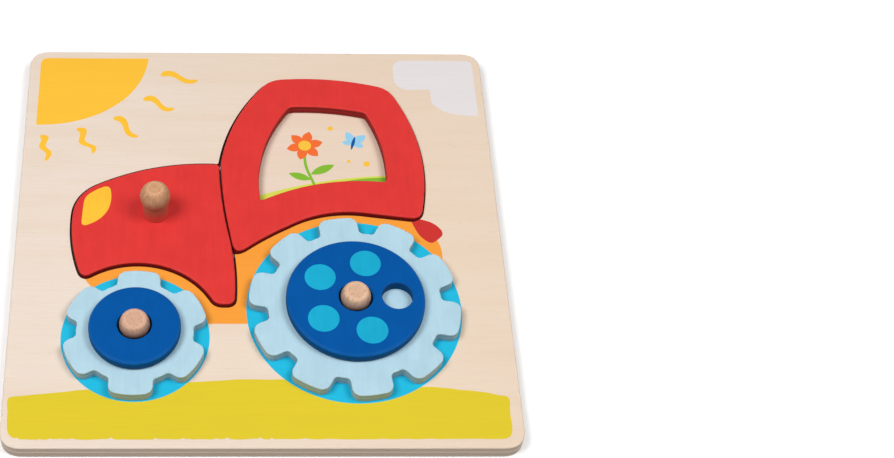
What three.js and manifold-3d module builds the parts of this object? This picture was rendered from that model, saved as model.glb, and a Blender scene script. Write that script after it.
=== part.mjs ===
// A square wooden lift-out board with a tractor picture. The bonnet and the cab lift out of the
// board, and each wheel is a toothed tyre with a hub lying on it, both loose on a turned peg.
// Millimetres, +Z up, origin at the middle of the board's underside.
import * as THREE from 'three';
import { mergeVertices } from 'three/addons/utils/BufferGeometryUtils.js';
import Module from 'manifold-3d';

const wasm = await Module();
wasm.setup();

// Board: a plywood base sheet with a thinner plywood sheet glued on it
const boardSide = 210;
const boardCorner = 9;
const boardEase = 0.7;
const baseThick = 4;
const topThick = 3;

// Lift-out pieces and the opening in the top sheet that they drop into
const pieceThick = 5;
const pieceEase = 0.9;
const cutoutGap = 0.6;
const seamGap = 0.7;

// Toothed tyres
const gearThick = 5;
const gearEase = 0.8;
const smallTipRadius = 30.2;
const smallToothDepth = 6;
const smallToothCount = 6;
const smallPhase = 27.5;
const largeTipRadius = 44.4;
const largeToothDepth = 7.9;
const largeToothCount = 10;
const largePhase = 25.5;
const toothTipRound = 3.8;
const toothRootRound = 2;
// A tooth's width as a share of the pitch along the root circle
const smallToothShare = 0.71;
const largeToothShare = 0.735;

// Hubs
const hubThick = 5;
const hubEase = 1;
const smallHubRadius = 19;
const largeHubRadius = 29;
const fingerHoleRadius = 6.5;
const fingerHolePlace = 17.5;
const fingerHoleAngle = 2;

// Turned pegs: two stand on the base sheet as axles, and one is the bonnet's knob. A ball's
// height is its middle's, and the flat crown's rise is counted from there.
const axleBall = 12.6;
const axleBallHeight = 13.2;
const axleCrownRise = 4;
const axleCrown = 7.8;
const knobBall = 13;
const knobBallHeight = 12.2;
const knobCrownRise = 5.5;
const knobCrown = 6.2;
const pegNeck = 10.9;
const pegFootEase = 0.4;
const pegCrownEase = 0.4;
const pegBlend = 1.6;
const boreGap = 0.8;
const pegHoleGap = 0.3;

// Countersunk screws that hold the pegs from below
const screwHead = 6.4;
const screwHeadDepth = 1.9;
const screwShank = 3;
const screwLength = 12.5;
const screwPoint = 2.5;
const screwSink = 0.3;
const screwGap = 0.3;
const screwTipRoom = 1;
const recessLength = 3.6;
const recessWidth = 0.9;
const recessDepth = 1.3;

// Places of the axles in the picture, from the board's middle
const smallAxleX = -52.2;
const smallAxleY = -53.1;
const largeAxleX = 39.2;
const largeAxleY = -39.3;

// Seam between bonnet and cab: upright at the top, then sweeping out to the bonnet's foot.
// Its shares are of the bonnet's height, and the cab's toe comes part of the way down it.
const seamMiddleShare = 0.51;
const seamLeanShare = 0.049;
const seamSpreadShare = 0.085;
const seamBowShare = 0.019;
const seamUpperBowShare = 0.01;
const cabToeShare = 0.65;

// Bonnet: it ends in an arch round the small wheel and meets the cab along the seam.
// Bows are shares of the height, and the nose's top is a share of the length and the height.
const bonnetLength = 62.6;
const bonnetHeight = 74.4;
const bonnetFootWidth = 8.2;
const archClearance = 6.3;
const archToeAngle = 129.3;
const archFootAngle = 25.3;
const bonnetTopCorner = 1.6;
const noseCorner = 9;
const toeCorner = 5;
const footCorner = 3.4;
const noseTopShare = [1, 0.774];
const noseBowShare = 0.045;
const bonnetTopBowShare = 0.072;
const knobFromSeam = 27.9;
const knobFromFoot = 47;

// Cab: a frame round a window, hollowed below round the large wheel. Corners are shares of
// the width from the seam and of the height from the fender's crown, and bows of the height.
const cabWidth = 87.6;
const cabHeight = 77;
const fenderClearance = 5.7;
const fenderFrontAngle = 122;
const fenderRearAngle = 80;
const roofCorner = 8;
const cabHeelCorner = 4.6;
const cabToeCorner = 7;
const windowCorner = 1.6;
const cabHeelShare = [1, -0.05];
const roofRearShare = [0.886, 0.92];
const roofFrontShare = [0.264, 0.983];
const cabBackBowShare = 0.096;
const roofBowShare = 0.039;
const screenBowShare = 0.056;
const fenderBowShare = -0.01;
const windowShares = [[0.203, 0.077], [0.842, 0.215], [0.755, 0.731], [0.363, 0.773]];
const windowBowShares = [-0.058, 0.034, 0.017, 0.07];

// Finish of curves: the most that a facet cuts into a round, and the steps in a rounded corner
const facetDepth = 0.06;
const cornerSteps = 4;
const easeSteps = 2;
const turnedSteps = 28;
const overrun = 2;

const boardThick = baseThick + topThick;
const gearBottom = boardThick;
const hubBottom = gearBottom + gearThick;
const archRadius = smallTipRadius + archClearance;
const fenderRadius = largeTipRadius + fenderClearance;
const boreRadius = axleBall / 2 + boreGap;

const degrees = (angle) => THREE.MathUtils.degToRad(angle);
const polar = (centre, radius, angle) => [
  centre[0] + radius * Math.cos(degrees(angle)),
  centre[1] + radius * Math.sin(degrees(angle)),
];
const stepsFor = (radius, sweep) => {
  const most = 2 * Math.acos(1 - Math.min(1, facetDepth / radius));
  return Math.max(1, Math.ceil(Math.abs(sweep) / most));
};

// Solids: a closed three.js geometry with its shared vertices merged
function solidOf(geometry) {
  const bare = geometry.index ? geometry.toNonIndexed() : geometry.clone();
  bare.deleteAttribute('normal');
  bare.deleteAttribute('uv');
  const merged = mergeVertices(bare);
  const corners = Array.from(merged.index.array);
  const kept = [];
  for (let i = 0; i < corners.length; i += 3) {
    const [a, b, c] = corners.slice(i, i + 3);
    if (a !== b && b !== c && c !== a) kept.push(a, b, c);
  }
  return new wasm.Manifold(new wasm.Mesh({
    numProp: 3,
    vertProperties: new Float32Array(merged.attributes.position.array),
    triVerts: new Uint32Array(kept),
  }));
}

function geometryOf(solid) {
  const { vertProperties, triVerts } = solid.getMesh();
  const geometry = new THREE.BufferGeometry();
  geometry.setAttribute('position', new THREE.BufferAttribute(vertProperties, 3));
  geometry.setIndex(new THREE.BufferAttribute(triVerts, 1));
  geometry.computeVertexNormals();
  return geometry;
}

// A board of even thickness with its edges eased on both faces, standing on Z = 0
function slab(shape, thick, ease) {
  const geometry = new THREE.ExtrudeGeometry(shape, {
    depth: thick - 2 * ease,
    bevelEnabled: true,
    bevelThickness: ease,
    bevelSize: ease,
    bevelOffset: -ease,
    bevelSegments: easeSteps,
  });
  geometry.translate(0, 0, ease);
  return solidOf(geometry);
}

// A cutter with the shape's outline let out by a gap, from one height to another
function cutter(shape, gap, bottom, top) {
  const geometry = new THREE.ExtrudeGeometry(shape, {
    depth: top - bottom,
    bevelEnabled: true,
    bevelThickness: 0,
    bevelSize: gap,
    bevelSegments: 0,
  });
  geometry.translate(0, 0, bottom);
  return solidOf(geometry);
}

// A turned solid about Z from a profile of [radius, height] that starts and ends on the axis
function turned(profile) {
  const points = profile.map(([radius, height]) => new THREE.Vector2(radius, height));
  const geometry = new THREE.LatheGeometry(points, turnedSteps);
  geometry.rotateX(Math.PI / 2);
  return solidOf(geometry);
}

function circlePath(centre, radius) {
  const steps = stepsFor(radius, 2 * Math.PI);
  const points = [];
  for (let i = 0; i < steps; i += 1) {
    points.push(new THREE.Vector2(...polar(centre, radius, (360 * i) / steps)));
  }
  return points;
}

// Outlines: corners run counter-clockwise, and each tells its rounding and the side that
// follows it. A side is bowed outwards at its middle, or follows a circle round a centre.
function sideCurve(corner, next) {
  const from = new THREE.Vector2(...corner.at);
  const to = new THREE.Vector2(...next.at);
  if (corner.centre) {
    const centre = new THREE.Vector2(...corner.centre);
    const start = from.clone().sub(centre);
    const end = to.clone().sub(centre);
    const radius = start.length();
    const curve = new THREE.EllipseCurve(
      centre.x, centre.y, radius, radius, start.angle(), end.angle(), true,
    );
    return { curve, steps: stepsFor(radius, start.angle() - end.angle()) };
  }
  const chord = to.clone().sub(from);
  const bow = corner.bow || 0;
  const outward = new THREE.Vector2(chord.y, -chord.x).normalize();
  const control = from.clone().addScaledVector(chord, 1 / 2).addScaledVector(outward, 2 * bow);
  const curve = new THREE.QuadraticBezierCurve(from, control, to);
  if (!bow) return { curve, steps: 1 };
  const length = chord.length();
  const radius = (length * length) / (8 * Math.abs(bow));
  return { curve, steps: stepsFor(radius, length / radius) };
}

function outline(corners) {
  const sides = corners.map((corner, i) => {
    const next = corners[(i + 1) % corners.length];
    const side = sideCurve(corner, next);
    const length = side.curve.getLength();
    side.start = (corner.round || 0) / length;
    side.end = 1 - (next.round || 0) / length;
    return side;
  });
  const points = [];
  sides.forEach((side, i) => {
    const along = (k) => side.start + ((side.end - side.start) * k) / side.steps;
    for (let k = 0; k < side.steps; k += 1) points.push(side.curve.getPoint(along(k)));
    const corner = corners[(i + 1) % corners.length];
    if (!corner.round) return;
    const next = sides[(i + 1) % sides.length];
    const bend = new THREE.QuadraticBezierCurve(
      side.curve.getPoint(side.end), new THREE.Vector2(...corner.at), next.curve.getPoint(next.start),
    );
    for (let k = 0; k < cornerSteps; k += 1) points.push(bend.getPoint(k / cornerSteps));
  });
  return points;
}

// The bonnet's foot stands where its arch ends, and its width sets the seam's place. From there
// come the seam's corners, and the point on it where the cab ends.
const smallAxle = [smallAxleX, smallAxleY];
const largeAxle = [largeAxleX, largeAxleY];
const archFoot = polar(smallAxle, archRadius, archFootAngle);
const [archFootX, footY] = archFoot;
const seamFoot = [archFootX + bonnetFootWidth + seamGap / 2, footY];
const seamX = seamFoot[0] - seamSpreadShare * bonnetHeight;
const seamTop = [seamX, footY + bonnetHeight];
const seamMiddle = [seamX + seamLeanShare * bonnetHeight, footY + seamMiddleShare * bonnetHeight];
const beside = (point, offset) => [point[0] + offset, point[1]];
const seamLower = sideCurve({ at: seamFoot, bow: seamBowShare * bonnetHeight }, { at: seamMiddle });
const seamAtCabToe = seamLower.curve.getPoint(cabToeShare).toArray();

// Bonnet outline, from the seam's foot round to the arch
const bonnetOutline = outline([
  { at: beside(seamFoot, -seamGap / 2), round: footCorner, bow: seamBowShare * bonnetHeight },
  { at: beside(seamMiddle, -seamGap / 2), bow: -seamUpperBowShare * bonnetHeight },
  { at: beside(seamTop, -seamGap / 2), round: bonnetTopCorner, bow: bonnetTopBowShare * bonnetHeight },
  {
    at: [seamX - noseTopShare[0] * bonnetLength, footY + noseTopShare[1] * bonnetHeight],
    round: noseCorner,
    bow: noseBowShare * bonnetHeight,
  },
  { at: polar(smallAxle, archRadius, archToeAngle), round: toeCorner, centre: smallAxle },
  { at: archFoot, round: footCorner },
]);

// Cab outline, from its toe along the fender, up the back, over the roof and down the seam
const crownY = largeAxle[1] + fenderRadius;
const cabPoint = ([across, up]) => [seamX + across * cabWidth, crownY + up * cabHeight];
const fenderFront = polar(largeAxle, fenderRadius, fenderFrontAngle);
const fenderRear = polar(largeAxle, fenderRadius, fenderRearAngle);
const cabOutline = outline([
  { at: beside(seamAtCabToe, seamGap / 2), round: cabToeCorner, bow: fenderBowShare * cabHeight },
  { at: fenderFront, centre: largeAxle },
  { at: fenderRear },
  { at: cabPoint(cabHeelShare), round: cabHeelCorner, bow: cabBackBowShare * cabHeight },
  { at: cabPoint(roofRearShare), round: roofCorner, bow: roofBowShare * cabHeight },
  { at: cabPoint(roofFrontShare), round: roofCorner, bow: screenBowShare * cabHeight },
  { at: beside(seamTop, seamGap / 2), bow: seamUpperBowShare * bonnetHeight },
  { at: beside(seamMiddle, seamGap / 2) },
]);

const windowOutline = outline(windowShares.map((share, i) => (
  { at: cabPoint(share), round: windowCorner, bow: windowBowShares[i] * cabHeight }
)));

// A toothed tyre: parallel-sided teeth with rounded tips and rounded roots, one of them along X
function gearShape(tipRadius, toothDepth, toothShare, toothCount) {
  const rootRadius = tipRadius - toothDepth;
  const pitch = (2 * Math.PI) / toothCount;
  const half = (toothShare * pitch * rootRadius) / 2;
  const tipX = Math.sqrt((tipRadius - toothTipRound) ** 2 - (half - toothTipRound) ** 2);
  const rootX = Math.sqrt((rootRadius + toothRootRound) ** 2 - (half + toothRootRound) ** 2);
  const tipCentre = [tipX, half - toothTipRound];
  const rootCentre = [rootX, half + toothRootRound];
  const tipAngle = Math.atan2(tipCentre[1], tipCentre[0]);
  const rootAngle = Math.atan2(rootCentre[1], rootCentre[0]);
  const arc = (centre, radius, from, to) => {
    const steps = stepsFor(radius, to - from);
    return Array.from({ length: steps + 1 }, (_, k) => {
      const angle = from + ((to - from) * k) / steps;
      return new THREE.Vector2(
        centre[0] + radius * Math.cos(angle), centre[1] + radius * Math.sin(angle),
      );
    });
  };
  const upper = [
    ...arc([0, 0], tipRadius, 0, tipAngle).slice(1),
    ...arc(tipCentre, toothTipRound, tipAngle, Math.PI / 2).slice(1),
    ...arc(rootCentre, toothRootRound, -Math.PI / 2, rootAngle - Math.PI),
    ...arc([0, 0], rootRadius, rootAngle, pitch / 2).slice(1),
  ];
  const lower = upper.map((point) => new THREE.Vector2(point.x, -point.y)).reverse().slice(1);
  const tooth = [...lower, new THREE.Vector2(tipRadius, 0), ...upper];
  const points = [];
  for (let i = 0; i < toothCount; i += 1) {
    tooth.forEach((point) => points.push(point.clone().rotateAround(new THREE.Vector2(), i * pitch)));
  }
  const shape = new THREE.Shape(points);
  shape.holes.push(new THREE.Path(circlePath([0, 0], boreRadius)));
  return shape;
}

function hubShape(radius, holes) {
  const shape = new THREE.Shape(circlePath([0, 0], radius));
  holes.forEach(([centre, holeRadius]) => {
    shape.holes.push(new THREE.Path(circlePath(centre, holeRadius)));
  });
  return shape;
}

// A turned peg, standing on Z = 0, with a pilot hole up its middle: neck, ball and flat crown
function pegSolid(ball, ballHeight, crownRise, crown) {
  const ballRadius = ball / 2;
  const neckRadius = pegNeck / 2;
  const pilotRadius = screwShank / 2 + screwGap;
  const pilotDepth = screwLength - Math.min(baseThick, pieceThick) + screwTipRoom;
  const blendRise = Math.sqrt((ballRadius + pegBlend) ** 2 - (neckRadius + pegBlend) ** 2);
  const blendHeight = ballHeight - blendRise;
  const blendAngle = Math.atan2(blendRise, neckRadius + pegBlend);
  const crownAngle = Math.asin((crownRise - pegCrownEase) / ballRadius);
  const profile = [
    [0, pilotDepth],
    [pilotRadius, pilotDepth],
    [pilotRadius, 0],
    [neckRadius - pegFootEase, 0],
    [neckRadius, pegFootEase],
  ];
  const blendSteps = 3;
  for (let k = 0; k < blendSteps; k += 1) {
    const angle = Math.PI - (blendAngle * k) / blendSteps;
    profile.push([
      neckRadius + pegBlend + pegBlend * Math.cos(angle), blendHeight + pegBlend * Math.sin(angle),
    ]);
  }
  const ballSteps = 9;
  for (let k = 0; k <= ballSteps; k += 1) {
    const angle = -blendAngle + ((blendAngle + crownAngle) * k) / ballSteps;
    profile.push([ballRadius * Math.cos(angle), ballHeight + ballRadius * Math.sin(angle)]);
  }
  profile.push([crown / 2, ballHeight + crownRise], [0, ballHeight + crownRise]);
  return turned(profile);
}

// A countersunk screw standing on its head at Z = 0, with a cross recess in the head
function screwSolid() {
  const body = turned([
    [0, 0],
    [screwHead / 2, 0],
    [screwShank / 2, screwHeadDepth],
    [screwShank / 2, screwLength - screwPoint],
    [0, screwLength],
  ]);
  const slot = (lengthX, lengthY) => {
    const box = new THREE.BoxGeometry(lengthX, lengthY, 2 * recessDepth);
    return solidOf(box);
  };
  return body
    .subtract(slot(recessLength, recessWidth))
    .subtract(slot(recessWidth, recessLength));
}

// The hole that a screw needs through a sheet, countersunk on the face at Z = 0
function screwHole(thick) {
  const headRadius = screwHead / 2 + screwGap;
  const shankRadius = screwShank / 2 + screwGap;
  return turned([
    [0, -overrun],
    [headRadius, -overrun],
    [headRadius, screwSink],
    [shankRadius, screwSink + screwHeadDepth],
    [shankRadius, thick + overrun],
    [0, thick + overrun],
  ]);
}

// The board: one blank sawn into its two sheets at the glue line
const half = boardSide / 2;
const boardOutline = outline([
  { at: [-half, -half], round: boardCorner },
  { at: [half, -half], round: boardCorner },
  { at: [half, half], round: boardCorner },
  { at: [-half, half], round: boardCorner },
]);
const boardBlank = slab(new THREE.Shape(boardOutline), boardThick, boardEase);

function layer(bottom, top) {
  const room = boardSide + 2 * overrun;
  const box = new THREE.BoxGeometry(room, room, top - bottom);
  box.translate(0, 0, (bottom + top) / 2);
  return solidOf(box);
}

function baseSheet() {
  return boardBlank
    .intersect(layer(-overrun, baseThick))
    .subtract(screwHole(baseThick).translate([...smallAxle, 0]))
    .subtract(screwHole(baseThick).translate([...largeAxle, 0]));
}

function topSheet() {
  const bottom = baseThick - overrun;
  const top = boardThick + overrun;
  const pegHole = (axle) => new THREE.Shape(circlePath(axle, pegNeck / 2));
  return boardBlank
    .intersect(layer(baseThick, top))
    .subtract(cutter(new THREE.Shape(bonnetOutline), cutoutGap, bottom, top))
    .subtract(cutter(new THREE.Shape(cabOutline), cutoutGap, bottom, top))
    .subtract(cutter(pegHole(smallAxle), pegHoleGap, bottom, top))
    .subtract(cutter(pegHole(largeAxle), pegHoleGap, bottom, top));
}

const knobAt = [seamX - knobFromSeam, footY + knobFromFoot];

function bonnetSolid() {
  return slab(new THREE.Shape(bonnetOutline), pieceThick, pieceEase)
    .subtract(screwHole(pieceThick).translate([...knobAt, 0]));
}

function cabSolid() {
  const shape = new THREE.Shape(cabOutline);
  shape.holes.push(new THREE.Path(windowOutline));
  return slab(shape, pieceThick, pieceEase);
}

// Finishes
const finish = (color, roughness, metalness = 0) => (
  new THREE.MeshStandardMaterial({ color, roughness, metalness })
);
const plywood = finish(0xe9dccb, 0.6);
const redPaint = finish(0xe03b38, 0.5);
const paleBluePaint = finish(0xb4d9e8, 0.5);
const darkBluePaint = finish(0x06529e, 0.45);
const beech = finish(0xd9b08c, 0.55);
const zinc = finish(0xb9bcc2, 0.35, 1);

function piece(name, solid, material) {
  const mesh = new THREE.Mesh(geometryOf(solid), material);
  mesh.name = name;
  return mesh;
}

function raised(mesh, height, turn = 0) {
  mesh.position.z = height;
  mesh.rotation.z = degrees(turn);
  return mesh;
}

// Assembly
const toy = new THREE.Group();
toy.add(piece('base_sheet', baseSheet(), plywood));
toy.add(piece('top_sheet', topSheet(), plywood));

const bonnetGroup = new THREE.Group();
bonnetGroup.position.z = baseThick;
bonnetGroup.add(piece('bonnet', bonnetSolid(), redPaint));
const knobGroup = new THREE.Group();
knobGroup.position.set(...knobAt, 0);
const knob = pegSolid(knobBall, knobBallHeight, knobCrownRise, knobCrown);
knobGroup.add(raised(piece('bonnet_knob', knob, beech), pieceThick));
knobGroup.add(raised(piece('bonnet_knob_screw', screwSolid(), zinc), screwSink));
bonnetGroup.add(knobGroup);
toy.add(bonnetGroup);

toy.add(raised(piece('cab', cabSolid(), redPaint), baseThick));

function wheel(label, axle, gear, phase, hub) {
  const group = new THREE.Group();
  group.position.set(...axle, 0);
  const peg = pegSolid(axleBall, axleBallHeight, axleCrownRise, axleCrown);
  group.add(raised(piece(`${label}_axle_peg`, peg, beech), baseThick));
  group.add(raised(piece(`${label}_axle_screw`, screwSolid(), zinc), screwSink));
  const gearMesh = piece(`${label}_gear`, slab(gear, gearThick, gearEase), paleBluePaint);
  group.add(raised(gearMesh, gearBottom, phase));
  group.add(raised(piece(`${label}_hub`, slab(hub, hubThick, hubEase), darkBluePaint), hubBottom));
  return group;
}

const bore = [[0, 0], boreRadius];
const fingerHole = [polar([0, 0], fingerHolePlace, fingerHoleAngle), fingerHoleRadius];
toy.add(wheel(
  'small',
  smallAxle,
  gearShape(smallTipRadius, smallToothDepth, smallToothShare, smallToothCount),
  smallPhase,
  hubShape(smallHubRadius, [bore]),
));
toy.add(wheel(
  'large',
  largeAxle,
  gearShape(largeTipRadius, largeToothDepth, largeToothShare, largeToothCount),
  largePhase,
  hubShape(largeHubRadius, [bore, fingerHole]),
));

export default toy;
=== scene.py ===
from functools import reduce
from math import asin, atan2, cos, degrees, pi, radians, sin, sqrt, tan

import bpy
import numpy as np
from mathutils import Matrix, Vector, noise
from mathutils.geometry import delaunay_2d_cdt
from numpy.linalg import norm


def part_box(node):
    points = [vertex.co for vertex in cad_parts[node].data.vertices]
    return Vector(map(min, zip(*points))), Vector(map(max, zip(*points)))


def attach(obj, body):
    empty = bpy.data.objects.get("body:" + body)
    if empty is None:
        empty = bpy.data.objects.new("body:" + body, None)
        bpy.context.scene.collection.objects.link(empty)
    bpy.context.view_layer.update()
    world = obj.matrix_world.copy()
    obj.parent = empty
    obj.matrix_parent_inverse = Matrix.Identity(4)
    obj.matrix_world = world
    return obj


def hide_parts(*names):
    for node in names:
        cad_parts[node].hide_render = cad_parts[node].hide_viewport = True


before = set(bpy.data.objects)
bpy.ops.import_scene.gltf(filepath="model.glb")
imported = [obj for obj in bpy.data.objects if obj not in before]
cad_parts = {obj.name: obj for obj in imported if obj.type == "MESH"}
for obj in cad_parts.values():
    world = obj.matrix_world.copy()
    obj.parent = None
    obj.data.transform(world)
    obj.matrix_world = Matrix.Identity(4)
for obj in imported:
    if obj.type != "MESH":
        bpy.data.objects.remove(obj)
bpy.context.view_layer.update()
mm = 0.001  # outlines and sizes below are in millimetres, and meshes in metres
quarter = pi / 2
squareCorners = ((-1, -1), (1, -1), (1, 1), (-1, 1))
print("frame loaded:", len(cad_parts), "CAD pieces")


def addObject(name, data):
    thing = bpy.data.objects.new(name, data)
    bpy.context.scene.collection.objects.link(thing)
    return thing


def bakedMesh(thing, name):
    graph = bpy.context.evaluated_depsgraph_get()
    mesh = bpy.data.meshes.new_from_object(thing.evaluated_get(graph))
    mesh.name = name
    return mesh


# Camera, at the photograph's viewing angle
camera = addObject("camera", bpy.data.cameras.new("camera"))
camera.location = (-0.02338, -0.42491, 0.59394)
camera.rotation_euler = [radians(angle) for angle in (35.864, -1.338, -0.760)]
camera.data.sensor_width = 36
camera.data.lens = 67.42
camera.data.shift_x = 0.2204
camera.data.shift_y = 0.0067
bpy.context.scene.camera = camera
print("camera placed")


# Places and levels that the frame gives, in millimetres
def middleOf(node):
    low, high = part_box(node)
    return np.array(((low + high) / 2 / mm)[:2])


def levelsOf(node):
    low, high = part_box(node)
    return low.z / mm, high.z / mm


smallAxle = middleOf("small_axle_peg")
largeAxle = middleOf("large_axle_peg")
knobPlace = middleOf("bonnet_knob")


def polar(centre, radius, angle):
    turn = radians(angle)
    return np.array(centre) + radius * np.array((cos(turn), sin(turn)))


def unit(vector):
    return vector / norm(vector)


def lengths(rows):
    return norm(rows, axis=1)


def stepsOf(points):
    return np.roll(points, -1, axis=0) - points


def pairsRound(items):
    return zip(items, items[1:] + items[:1])


def bent(start, bend, end, t):
    return start * (1 - t) ** 2 + 2 * bend * t * (1 - t) + end * t * t


# Outlines run counter-clockwise. A corner is (place, rounding, bow of the side after it), and a fourth
# value makes that side a hollow arc round a centre.
def sidePoints(corner, following):
    start = np.array(corner[0], float)
    end = np.array(following[0], float)
    if len(corner) == 4:
        centre = np.array(corner[3], float)
        radius = norm(start - centre)
        fromAngle = atan2(*(start - centre)[::-1])
        sweep = (fromAngle - atan2(*(end - centre)[::-1])) % (2 * pi)
        return lambda t: polar(centre, radius, degrees(fromAngle - sweep * t)), radius * sweep
    chord = end - start
    outward = np.array((chord[1], -chord[0])) / norm(chord)
    control = (start + end) / 2 + 2 * corner[2] * outward
    samples = np.array([bent(start, control, end, t) for t in np.linspace(0, 1, 60)])
    return lambda t: bent(start, control, end, t), lengths(np.diff(samples, axis=0)).sum()


def outline(corners, step=0.6, cornerSteps=12):
    corners = [corner if len(corner) == 4 else (*corner, 0, 0)[:3] for corner in corners]
    sides = []
    for corner, following in pairsRound(corners):
        along, length = sidePoints(corner, following)
        sides.append((along, corner[1] / length, 1 - following[1] / length, length))
    points = []
    for (corner, following), (side, nextSide) in zip(pairsRound(corners), pairsRound(sides)):
        along, first, last, length = side
        straight = len(corner) == 3 and not corner[2]
        count = 1 if straight else max(1, round(length * (last - first) / step))
        points += [along(first + (last - first) * k / count) for k in range(count)]
        if following[1]:
            start, end = along(last), nextSide[0](nextSide[1])
            bend = np.array(following[0], float)
            points += [bent(start, bend, end, k / cornerSteps) for k in range(cornerSteps)]
    return np.array(points)


def ringOf(centre, radius, count):
    return np.array([polar(centre, radius, 360 * k / count) for k in range(count if radius else 1)])


def circle(centre, radius, step=0.5):
    return ringOf(centre, radius, max(24, round(2 * pi * radius / step)))


def sideNormals(points):
    ahead = stepsOf(points)
    ahead /= lengths(ahead)[:, None]
    return np.stack([ahead[:, 1], -ahead[:, 0]], axis=1)


def cornerNormals(points, longestMiter=2.5):
    sides = sideNormals(points)
    summed = sides + np.roll(sides, 1, axis=0)
    normals = summed / lengths(summed)[:, None]
    miter = 1 / np.maximum((normals * sides).sum(axis=1), 1 / longestMiter)
    return normals, normals * miter[:, None]


def letOut(points, gap):
    return points + cornerNormals(points)[1] * gap


# Flat shapes are joined and filled with Blender's own triangulation
def triangulate(polygons):
    corners = [Vector(point) for polygon in polygons for point in polygon]
    starts = np.cumsum([0] + [len(polygon) for polygon in polygons])
    faces = [list(range(first, last)) for first, last in zip(starts, starts[1:])]
    return delaunay_2d_cdt(corners, [], faces, 1, 1e-6)


def joinOutlines(polygons):
    vertices, _, triangles = triangulate(polygons)[:3]
    sides = dict.fromkeys(side for corners in triangles for side in pairsRound(corners))
    rim = {a: b for a, b in sides if (b, a) not in sides}
    walk = [next(iter(rim))]
    while rim[walk[-1]] != walk[0]:
        walk.append(rim[walk[-1]])
    return np.array([vertices[i] for i in walk])


# The thin tips of wood between two cuts get the round end that a cutter leaves
def roundedTips(points, reach=1.2, steps=6):
    ahead = stepsOf(points)
    before = np.roll(ahead, 1, axis=0)
    straightness = (before * ahead).sum(axis=1) / lengths(before) / lengths(ahead)
    for tip in points[straightness < cos(radians(60))]:
        apart = lengths(points - tip)
        fromTip = np.roll(np.arange(len(points)), -apart.argmin())
        kept = points[fromTip[apart[fromTip] > reach]]
        legs = [unit(end - tip) for end in (kept[-1], kept[0])]
        middle = unit(legs[0] + legs[1])
        centre = tip + middle * reach / (legs[0] @ middle)
        start, end = (tip + leg * reach - centre for leg in legs)
        fromAngle = degrees(atan2(*start[::-1]))
        sweep = (degrees(atan2(*end[::-1])) - fromAngle + 180) % 360 - 180
        radius = norm(start)
        arc = [polar(centre, radius, fromAngle + sweep * k / steps) for k in range(steps + 1)]
        points = np.concatenate([kept, arc])
    return points


def crossed(a, b):
    return a[..., 0] * b[..., 1] - a[..., 1] * b[..., 0]


def crossings(first, second):
    found = []
    secondAhead = stepsOf(second)
    for i, (start, ahead) in enumerate(zip(first, stepsOf(first))):
        between = second - start
        cross = crossed(ahead, secondAhead)
        cross[np.abs(cross) < 1e-12] = 1e-12
        s = crossed(between, secondAhead) / cross
        t = crossed(between, ahead) / cross
        for j in np.nonzero((s > 0) & (s < 1) & (t > 0) & (t < 1))[0]:
            found.append((i, s[j], int(j), t[j], start + ahead * s[j]))
    return found


def inserted(points, extras):
    result = []
    for i, point in enumerate(points):
        result.append(point)
        result += [place for at, _, place in sorted(extras, key=lambda e: e[:2]) if at == i]
    return np.array(result)


# Edges are rows of (inset, height, tilt of the surface), from the bottom face to the top face
def edgeRows(bottom, top, easeBottom=0.0, easeTop=0.0, steps=6):
    rows = []
    for ease, level, up in ((easeBottom, bottom, -1), (easeTop, top, 1)):
        first = -quarter if up < 0 else 0
        for tilt in [first + quarter * k / steps for k in range(steps + 1)] if ease else [0]:
            rows.append((ease * (1 - cos(tilt)), level - up * ease * (1 - up * sin(tilt)), tilt))
    return rows


def meshObject(name, vertices, faces, material, normals=None, colours=None):
    mesh = bpy.data.meshes.new(name)
    mesh.from_pydata(np.array(vertices) * mm, [], faces)
    mesh.polygons.foreach_set("use_smooth", [True] * len(faces))
    mesh.materials.append(material)
    if colours:
        layer = mesh.color_attributes.new("ink", "FLOAT_COLOR", "CORNER")
        layer.data.foreach_set("color", np.array(colours, np.float32).ravel())
    if normals:
        mesh.normals_split_custom_set(normals)
    return addObject(name, mesh)


# Rings of corners, one for each row that starts with (size, height). A row at the place of the one
# before shares its ring, and a single corner stands for the whole ring.
def addRings(vertices, rows, count, placesAt, bottom=0.0):
    rings = []
    for last, row in zip([None, *rows], rows):
        if last and last[:2] == row[:2]:
            rings.append(rings[-1])
            continue
        first = len(vertices)
        vertices += [(*place, bottom + row[1]) for place in placesAt(*row[:2])]
        rings.append(range(first, first + count) if len(vertices) > first + 1 else [first] * count)
    return rings


# The faces between rings, as corners that know their ring and their step round it
def ringFaces(rings):
    for r in range(len(rings) - 1):
        for i in range(len(rings[r])):
            j = (i + 1) % len(rings[r])
            corners = {}
            for ring, k in ((r, i), (r, j), (r + 1, j), (r + 1, i)):
                corners.setdefault(rings[ring][k], (ring, k))
            if len(corners) > 2:
                yield corners


def facing(corners, rows, normals):
    return [(*normals[k] * cos(rows[ring][2]), sin(rows[ring][2])) for ring, k in corners.values()]


noInk = (0.0, 0.0, 0.0, 0.0)


# The rim of a loop gets a corner wherever the edge of a print crosses it, and the print gets it too
def splitAtPrints(base, inset, prints):
    rim = base - cornerNormals(base)[1] * inset
    outward = sideNormals(base) * inset
    extras = []
    for k, (points, ink) in enumerate(prints):
        found = crossings(rim, points)
        prints[k] = (inserted(points, [(j, t, place) for _, _, j, t, place in found]), ink)
        extras += [(i, s, place + outward[i]) for i, s, _, _, place in found]
    return inserted(base, extras)


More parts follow.
